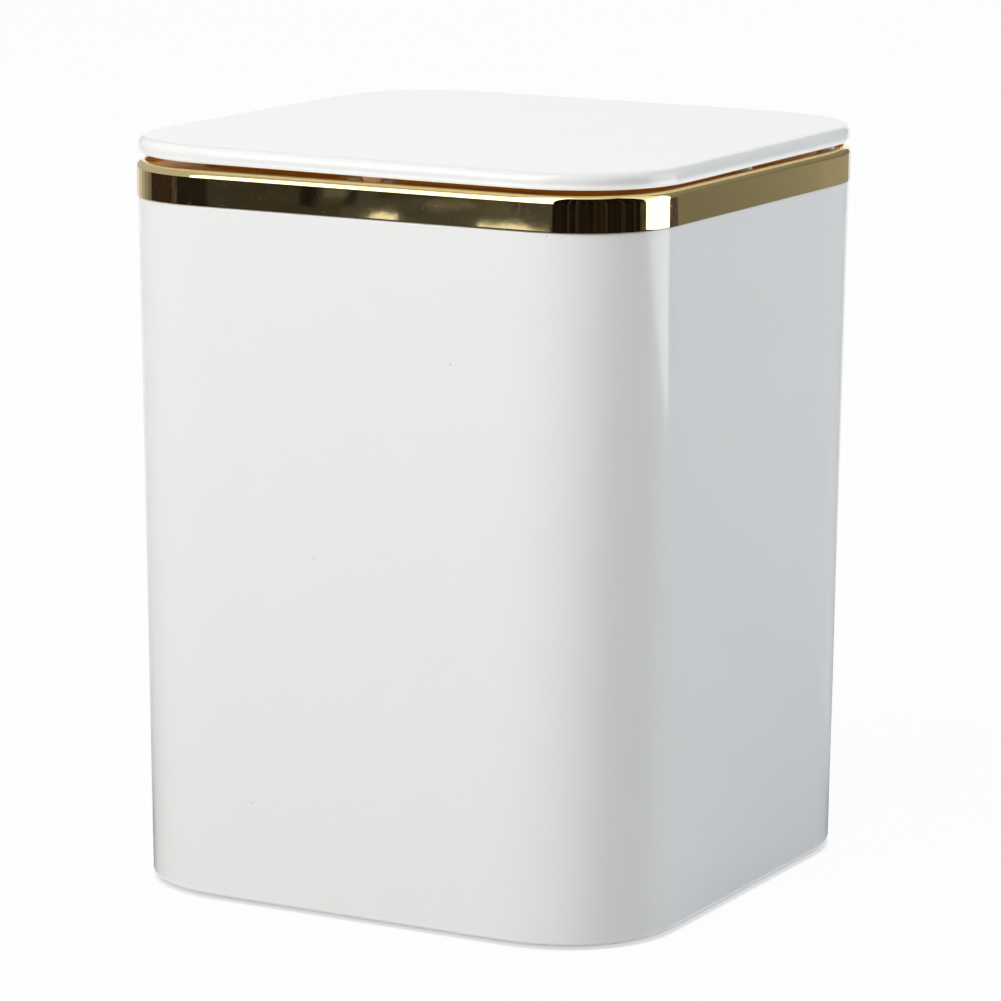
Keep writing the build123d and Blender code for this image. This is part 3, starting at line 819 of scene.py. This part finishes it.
def settled(table, profile):
    """Lets the lid lean as the real one does, lower at the front on the right.

    The lean is a plane in x and y. The top moves by it where it is negative. The rim's underside moves
    both ways, less a bow at the corners, but never so low that a press would drive it into the ring.
    """
    x, y, z = table[..., X] / LEAN_REACH, table[..., Y] / LEAN_REACH, table[..., Z]
    lean = LEAN[0] + LEAN[1] * x + LEAN[2] * y
    bow = BOW * np.maximum(0, x**2 + y**2 - 1)
    pressed = RING_TOP + PRESS_GAP + (HINGE_Y - table[..., Y]) * math.sin(PRESS_ANGLE) - LID_UNDER
    under = -soft_least(bow - lean, -pressed, 12)
    half, height = profile[:, :1], profile[:, 1:]
    recess = (half < LID_INNER + 1e-3) & (height < PANEL_TOP + 0.01)
    rim_share = (LID_TOP - height) / (LID_TOP - LID_UNDER)
    low_share = np.where(recess, (PANEL_TOP - height) / PANEL_THICK, rim_share)
    high_share = np.where(recess, 0, 1 - low_share)
    moved = table.copy()
    moved[..., Z] = z + low_share * under + high_share * soft_least(lean, 0 * lean, 4)
    return moved


corners = [
    *flat(LID_TOP, 0, 25, 50),
    (LID_HALF, LID_TOP, LID_EDGE_TOP),
    (LID_HALF, LID_UNDER, LID_EDGE_LOW),
    (LID_INNER, LID_UNDER, 0.25),
    (LID_INNER, PANEL_TOP, 0.2),
    *flat(PANEL_TOP, 45, 20, 0),
]
profile = rounded(corners, closed=False, steps=8, hold=0.3)
lid = place(table_mesh("lid_shell", settled(around(profile, lid_corner), profile)))
stand_in(lid, "lid_cover", "lid", lid_gloss)

rim = [(PANEL_HALF, LID_UNDER, 0.3), (PANEL_HALF, PANEL_TOP, 0.1)]
corners = [*flat(LID_UNDER, 0, 20, 46, 61), *rim, *flat(PANEL_TOP, 61, 46, 20, 0)]
panel = place(table_mesh("panel", around(rounded(corners, closed=False, steps=4), parallel)))
HOLE_HALF, HOLE_REACH, BAR_HALF, BAR_PLAY = 8, 2.5, 7, 0.15
KNUCKLE_X, KNUCKLE_LONG, BORE_PLAY, WEB_STEP = 26.8, 7.6, 0.05, 0.4
BAR_Y = (LATCH_Y + HOLE_REACH, high("striker", Y))
span, fit = (LID_UNDER - 1, PANEL_TOP + 1), BAR_HALF + BAR_PLAY
cuts = [
    box_mesh((-HOLE_HALF, HOLE_HALF), (LATCH_Y - HOLE_REACH, BAR_Y[0]), span, edge=0.3),
    box_mesh((-fit, fit), (BAR_Y[0] - BAR_PLAY, BAR_Y[1] + BAR_PLAY), span, edge=0.3),
]
combine(panel, cuts, "DIFFERENCE")
web = [
    (FRONT, HINGE_Z - KNUCKLE, ROUND),
    (BACK, HINGE_Z - KNUCKLE, ROUND),
    (BACK, HINGE_Z + 0.6, 1.0),
    (PANEL_HALF, LID_UNDER - WEB_STEP, 0),
    (PANEL_HALF, LID_UNDER + WEB_STEP, 0),
    (FRONT, LID_UNDER + WEB_STEP, 0),
]
for sign in (-1, 1):
    x = sorted((sign * KNUCKLE_X, sign * (KNUCKLE_X + KNUCKLE_LONG)))
    combine(panel, [plate_mesh("knuckle", web, X, *x, steps=8)], "UNION")
    bore = rod_mesh("bore", PIN + BORE_PLAY, x[0] - 1, x[1] + 1, (HINGE_Y, HINGE_Z), X)
    combine(panel, [bore], "DIFFERENCE")
stand_in(panel, "lid_inner_panel", "lid", satin_white)

# %% [markdown]
# The striker is a small nylon arrow that hangs from the lid and is gripped by two jaws. Its stem and
# arrow head are one flat shape, and the T-shaped foot that is screwed into the panel is another.

# %% Striker
neck, head = RING_TOP - 1.387, RING_TOP - 3.3
right = [
    (2.7, LID_UNDER + 0.6, 0),
    (2.7, LID_UNDER, 0.3),
    (1.3, neck, 0.5),
    (1.3, head, 0.3),
    (3.0, head, 0.2),
    (3.0, head - 0.8, 0.3),
    (1.0, head - 2.4, 0.4),
]
left = [(-x, z, radius) for x, z, radius in reversed(right)]
striker = place(plate_mesh("arrow", right + left, Y, LATCH_Y - 1, LATCH_Y + 1))
stem = box_mesh((-2.68, 2.68), (LATCH_Y - 0.97, BAR_Y[0] + 1), (LID_UNDER + 0.02, PANEL_TOP), edge=0.15)
bar = box_mesh((-BAR_HALF, BAR_HALF), BAR_Y, (LID_UNDER + 0.04, PANEL_TOP - 0.02), edge=0.25)
combine(striker, [stem, bar], "UNION")
stand_in(striker, "striker", "lid", striker_nylon_painted_warm)

# %% [markdown]
# Two hooked jaws come up through the deck and close round the arrow head. Each is a flat hook with a
# round eye at its foot and a short pivot through it, which turns in the slider's cheeks.

# %% Jaws
JAW_X, JAW_Y, JAW_PIVOT, JAW_EYE, JAW_AXLE = 4.9, (LATCH_Y - 1.1, LATCH_Y + 1.1), RING_TOP - 9.0, 1.3, 0.8
tip, hook = RING_TOP - 0.2, RING_TOP - 1.3
right_jaw = [
    (4.1, JAW_PIVOT, 0),
    (4.1, hook, 0.1),
    (3.2, hook, 0.15),
    (3.2, hook + 0.55, 0.15),
    (3.75, tip, 0.2),
    (5.7, tip, 0.35),
    (5.7, JAW_PIVOT, 0),
]
for side, sign in (("left", -1), ("right", 1)):
    shape = [(sign * x, z, radius) for x, z, radius in right_jaw]
    jaw = place(plate_mesh(f"hook_{side}", shape, Y, *JAW_Y, edge=0.15))
    eye = rod_mesh("eye", JAW_EYE, *JAW_Y, (sign * JAW_X, JAW_PIVOT), Y)
    pivot = rod_mesh("pivot", JAW_AXLE, JAW_Y[0] - 1, JAW_Y[1] + 1, (sign * JAW_X, JAW_PIVOT), Y)
    combine(jaw, [eye, pivot], "UNION")
    stand_in(jaw, f"latch_jaw_{side}", f"jaw_{side}", white_nylon)

# %% [markdown]
# The latch's spring, its cam pin and the lid's two torsion springs are bent wire. Each is a tube along a
# path: a helix is a point that turns evenly while it moves along its axis. A spring joins two bodies; here
# each spring is baked where it lies at rest.


# %% Springs and the cam pin
TURN_STEPS = 28


def helix(turns, radius, length, first, second, axis, start):
    """start + radius (cos t first + sin t second) + axis, as t runs through the turns."""
    t = np.linspace(0, 2 * math.pi * turns, int(turns * TURN_STEPS) + 1)[:, None]
    return start + radius * (np.cos(t) * first + np.sin(t) * second) + axis * length * t / t[-1]


def join(piece, node, body, start, end):
    """A finished spring in wire steel, baked where it lies at rest and seen instead of its solid."""
    dress(piece, wire_steel)
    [tuple(c * MM for c in point) for point in (start, end)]
    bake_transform(piece)
    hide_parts(node)
    print(f"{piece.name}: {len(piece.data.polygons)} faces in place of {node}, from the frame to {body}")


ALONG_X, ALONG_Y, ALONG_Z = np.eye(3)
PUSH_WIRE, PUSH_RADIUS, PUSH_TURNS = 0.22, 1.6, 5
foot = (0, LATCH_Y, low("latch_spring", Z) + PUSH_WIRE)
head = (0, LATCH_Y, high("latch_spring", Z) - PUSH_WIRE)
coils = helix(PUSH_TURNS, PUSH_RADIUS, head[Z] - foot[Z], ALONG_X, ALONG_Y, ALONG_Z, foot)
spring = place(wire_mesh("push_spring", coils, PUSH_WIRE, ALONG_Z))
join(spring, "latch_spring", "slider", foot, head)

CAM_WIRE, CAM_Y, CAM_BEND = 0.35, -54.25, 0.4
cam_low, cam_high = low("latch_cam_pin", Z) + CAM_WIRE, high("latch_cam_pin", Z) - CAM_WIRE
bend = [(high("latch_cam_pin", Y), cam_low, 0), (CAM_Y, cam_low, CAM_BEND), (CAM_Y, cam_high, CAM_BEND)]
bend = rounded([*bend, (low("latch_cam_pin", Y), cam_high, 0)], closed=False)
path = np.column_stack([np.zeros(len(bend)), bend])
cam = place(wire_mesh("cam_wire", path, CAM_WIRE, ALONG_X))
stand_in(cam, "latch_cam_pin", "cam_pin", wire_steel)

TWIST_WIRE, TWIST_RADIUS, TWIST_TURNS, TWIST_LONG, TWIST_X = 0.25, 1.5, 10.5, 6.3, 22.7
LEG_CLEAR, DECK_LEG, LID_LEG = 0.29, -2.8, -8.0
for side, sign in (("left", -1), ("right", 1)):
    start = np.array([sign * TWIST_X - TWIST_LONG / 2, HINGE_Y, HINGE_Z])
    coils = helix(TWIST_TURNS, TWIST_RADIUS, TWIST_LONG, -ALONG_Z, ALONG_Y, ALONG_X, start)
    deck_end, lid_end = coils[0] + DECK_LEG * ALONG_Y, coils[-1] + LID_LEG * ALONG_Y
    deck_end[Z], lid_end[Z] = RING_TOP - NOTCH_DEPTH + LEG_CLEAR, LID_UNDER - LEG_CLEAR
    legs = np.linspace(deck_end, coils[0], 8)[:-1], np.linspace(coils[-1], lid_end, 8)[1:]
    path = np.vstack([legs[0], coils, legs[1]])
    twist = place(wire_mesh(f"twist_{side}", path, TWIST_WIRE, ALONG_X))
    join(twist, f"torsion_spring_{side}", "lid", start + 0.3 * ALONG_X, start + 6 * ALONG_X)
    ends = (low(f"hinge_pin_{side}", X), high(f"hinge_pin_{side}", X))
    pin = place(rod_mesh(f"axle_{side}", PIN, *ends, (HINGE_Y, HINGE_Z), X))
    stand_in(pin, f"hinge_pin_{side}", "top_frame", zinc_steel)

# %% [markdown]
# Small clear rubber domes on the deck stop the lid with a soft touch.

# %% Bumpers
for spot in ("left_mid", "left_rear", "right_mid", "right_rear"):
    node, name = f"bumper_{spot}", f"dome_{spot}"
    base, top, edge = low(node, Z), high(node, Z), high(node, X) - mid(node, X)
    corners = [(0, base, 0), (edge, base, 0.1), (edge, top, 1.1), (0, top, 0)]
    dome = place(turned(name, corners, (mid(node, X), mid(node, Y)), steps=8))
    stand_in(dome, node, "top_frame", clear_rubber)

# %% [markdown]
# The latch's case, cover and slider and the screws keep their engineering solids, whose shape is right.
# They only need their finishes.

# %% Finishes for the solids that stay
for finish, slot, *kept in (
    (grey_nylon, "latch_grey", "latch_case", "latch_cover"),
    (white_nylon, "latch_white", "latch_slider"),
    (zinc_steel, "steel", "collar_screws", "latch_case_screws", "striker_screws"),
):
    for node in kept:
        dress(nodes[node], finish)
    print(finish.name, "on", kept)

# %% [markdown]
# The camera looks slightly down at the corner of the bin through a long lens. Its place is given as an
# azimuth from the front towards the right, a height above the horizon and a distance.

# %% Camera
AZIMUTH, ELEVATION, ROLL = math.radians(28.515), math.radians(10.953), math.radians(0.32)
DISTANCE, TARGET_Z, FOCAL_SHARE, SHIFT, SENSOR = 1.07685, 0.0833, 4738.7 / 1001, 0.00287, 36


def towards(azimuth, elevation):
    """The unit vector at an azimuth from -Y towards +X and an elevation."""
    level = math.cos(elevation)
    return np.array([level * math.sin(azimuth), -level * math.cos(azimuth), math.sin(elevation)])


def aim(thing, azimuth, elevation, distance, target, roll=0.0):
    """Stands a camera or a lamp off a point on the Z axis, and turns it to look at that point."""
    line = Vector(towards(azimuth, elevation))
    turn = line.to_track_quat("Z", "Y").to_matrix() @ Matrix.Rotation(roll, 3, "Z")
    thing.matrix_world = Matrix.Translation(Vector((0, 0, target)) + line * distance) @ turn.to_4x4()
    return thing


lens = bpy.data.cameras.new("camera")
lens.sensor_width, lens.lens, lens.shift_x, lens.clip_end = SENSOR, SENSOR * FOCAL_SHARE, SHIFT, 50
camera = aim(add("camera", lens), AZIMUTH, ELEVATION, DISTANCE, TARGET_Z, ROLL)
bpy.context.scene.camera = camera
print("camera at", [round(c, 3) for c in camera.matrix_world.translation])

# %% [markdown]
# A studio is mostly what the shiny parts reflect. The floor is nearly white to the camera and to
# reflections. It keeps a little of the bin's soft shadow, and more of it under the foot. Round it are dark
# and white cards that only reflections see, because the gold band is a mirror that takes its look from them.


# %% Floor and world
FLOOR_HALF, AMBIENT = 6.0, 0.40
CAMERA_RAY, GLOSSY_RAY, TRANSMISSION_RAY = 0, 3, 6


def studio_white(look, share, other, kind):
    """Mixes plain white of this kind of shader into another, for camera, glossy and transmission rays."""
    rays = look.node("LightPath", output=CAMERA_RAY)
    for output in (GLOSSY_RAY, TRANSMISSION_RAY):
        rays = rays + look.node("LightPath", output=output)
    white = look.node(kind, sockets={0: WHITE, 1: 1.0})
    rays = look.node("Clamp", sockets={0: rays})
    return look.node("MixShader", sockets={0: share * rays, 1: other, 2: white})


x, y = np.meshgrid(*[np.linspace(-FLOOR_HALF, FLOOR_HALF, 25)] * 2)
floor = place(sheet_mesh("floor", np.stack([x, y, 0 * x], -1)))
look = Finish("floor")
tone = look.blend(look.beyond(250, 180, 0.15), paint(0.64, 0.64, 0.64), paint(0.74, 0.74, 0.74))
tone = look.blend(0.04 * look.noise(30, detail=3), tone, WHITE)
clear_of_foot = look.beyond(FOOT_HALF - 0.2, BASE_CORNER, 0.001)
sheet = look.node("BsdfDiffuse", sockets={"Color": tone})
look.surface(studio_white(look, 0.62 + 0.35 * clear_of_foot, sheet, "Emission"))
floor.data.materials.append(look.owner)

world = bpy.data.worlds.new("studio")
bpy.context.scene.world = world
look = Finish("studio", world)
dim = look.node("Background", sockets={0: WHITE, 1: AMBIENT})
look.surface(studio_white(look, 1.0, dim, "Background"), "World")
print("floor and world made")


# %% Cards that only reflections see
REACH, LOW_LAYER, HIGH_LAYER = 2.4, 0.002, 0.0025


def floor_card(name, start, end, tone, patches=0.0, near=0.04, far=REACH, height=LOW_LAYER):
    """Part of a flat band round the bin, between two azimuths in degrees and two distances in metres."""
    turn, reach = np.meshgrid(np.radians(np.linspace(start, end, 25)), np.linspace(near, far, 3))
    card(name, np.stack([reach * np.sin(turn), -reach * np.cos(turn), 0 * turn + height], -1), tone, patches)


def wall_card(name, start, end, bottom, top, tone):
    """Part of a wide dome round the bin, between two azimuths and two elevations in degrees."""
    turn, rise = np.meshgrid(np.radians(np.linspace(start, end, 17)), np.radians(np.linspace(bottom, top, 9)))
    level = REACH * np.cos(rise)
    card(name, np.stack([level * np.sin(turn), -level * np.cos(turn), REACH * np.sin(rise)], -1), tone)


def card(name, points, tone, patches=0.0):
    """A glowing card from a table of points, of one tone, with this share of darker patches."""
    look = Finish(name)
    shade = paint(*tone)
    if patches:
        cloud = look.between(look.noise(26, detail=5, rough=0.6), 0.38, 0.62)
        shade = look.blend(patches * cloud, shade, paint(0.02, 0.014, 0.010))
    look.surface(look.node("Emission", sockets={0: shade, 1: 1.0}))
    made = place(sheet_mesh(name, points))
    made.data.materials.append(look.owner)
    made.visible_camera = made.visible_diffuse = made.visible_shadow = made.visible_transmission = False


def grey(value):
    return (value,) * 3


CORNER, CORNER_END, STRIPS, DOME = 0.5, 97, 36, 66
floor_card("front_left", -32.6, -29, (0.046, 0.043, 0.041), patches=0.45)
floor_card("front_right", -29, CORNER, (0.074, 0.075, 0.080), patches=0.5)
shades = np.random.default_rng(11).uniform(0, 1, STRIPS) ** 3
for start, shade in zip(np.linspace(CORNER, CORNER_END, STRIPS + 1), shades):
    end = start + CORNER_END / STRIPS
    tone = 0.005 + 0.034 * shade
    tone = (tone, 0.78 * tone, 0.72 * tone)
    floor_card("near_corner", start, end, tone, patches=0.7)
    wall_card("near_corner_wall", start, end, 0, DOME, tone)
floor_card("corner_glow", CORNER_END, 104, (0.09, 0.08, 0.09), patches=0.9)
floor_card("under_strip", 104, 136.4, (0.05, 0.045, 0.04))
floor_card("dark_gap", 136.4, 146.3, (0.11, 0.10, 0.12), patches=0.7)
places, tones = (146.3, 150.4, 151.3, 152.2, 153, 153.8), (0.186, 0.188, 0.208, 0.235, 0.270, 0.320)
for start in np.arange(146.3, 154.6, 0.3):
    tone = np.interp(start, places, tones)
    floor_card("far_right", start, start + 0.3, (tone, 0.98 * tone, 0.88 * tone))
floor_card("far_right_end", 154.7, 180, (0.33, 0.32, 0.29))
floor_card("dark_left", -46, -32.6, grey(0.014), patches=0.3)
floor_card("brown_left", -51, -46, (0.10, 0.08, 0.09), patches=0.9)
floor_card("patchy_left", -81, -51, (0.04, 0.03, 0.026), patches=0.9)
edges = (-81, -88, -97, -106, -118, -180)
for start, end, tone in zip(edges[1:], edges, (0.17, 0.27, 0.40, 0.60, 0.85)):
    floor_card(f"far_left{start}", start, end, grey(tone))
for name, start, end, near, far, tone in (
    ("dark_spot", -29.95, -29.6, 1.25, 1.35, 0.008),
    ("oval", -29.45, -29.0, 1.285, 1.33, 0.11),
    ("dark_spot_2", -29.0, -28.75, 1.25, 1.35, 0.014),
    ("streak", -28.4, -26, 1.287, 1.303, 0.02),
    ("sliver", -28.45, -27.8, 1.15, 1.222, 1.1),
    ("long_sliver", -25.9, -1.5, 1.15, 1.194, 1.1),
    ("left_sliver", -37.2, -35.8, 1.15, 1.225, 0.9),
):
    floor_card(name, start, end, grey(tone), near=near, far=far, height=HIGH_LAYER)
sheen = {"patches": 1.0, "near": 1.248, "far": 1.275, "height": HIGH_LAYER}
floor_card("sheen", -27.2, -22.5, (0.17, 0.165, 0.15), **sheen)
start, end, up = (np.array(v) for v in ((1.159, 0.301, 0), (0.461, 0.430, 0), (0, 0, 0.5)))
u, v = (share[..., None] for share in np.meshgrid(np.linspace(0, 1, 9), np.linspace(0, 1, 9)))
card("strip_card", start + u * (end - start) + v * up, grey(2.6))
wall_card("softbox", -36, 0, 0, 78, grey(2.6))
wall_card("left_wall", -140, -36, 0, 62, grey(0.5))
wall_card("dark_wall", CORNER_END, 104, 0, DOME, grey(0.015))
for bottom, top, tone in ((0, 14, 0.20), (14, 30, 0.25), (30, 48, 0.32), (48, DOME, 0.42)):
    wall_card(f"right_wall_{bottom}", 136, 185, bottom, top, (tone, 0.97 * tone, 0.87 * tone))
wall_card("top_left", -180, -36, 62, 89, grey(0.5))
wall_card("top_front", -36, 0, 78, 89, grey(2.3))
wall_card("top_corner", 0, 104, DOME, 89, grey(0.9))
wall_card("top_right", 104, 180, DOME, 89, grey(0.55))
print("cards made")


# %% [markdown]
# Two soft lamps light the bin: one high in front, a little to the left, and a larger, cooler one low
# behind on the right. They are kept out of reflections, where the cards take their place.


# %% Lamps
LAMP_TARGET = 0.08


def soft_lamp(name, azimuth, elevation, distance, size, power, colour):
    """An area lamp aimed at the middle of the bin, from angles in degrees."""
    data = bpy.data.lights.new(name, "AREA")
    data.size, data.energy, data.color = size, power, colour
    lamp = aim(add(name, data), math.radians(azimuth), math.radians(elevation), distance, LAMP_TARGET)
    lamp.visible_glossy = False


soft_lamp("key", -22, 43, 1.6, 1.2, 19.2, (1.0, 0.998, 0.99))
soft_lamp("fill", 145, 5, 2.6, 1.6, 55, (0.85, 0.91, 1.0))
bpy.context.scene.view_settings.view_transform = "Standard"
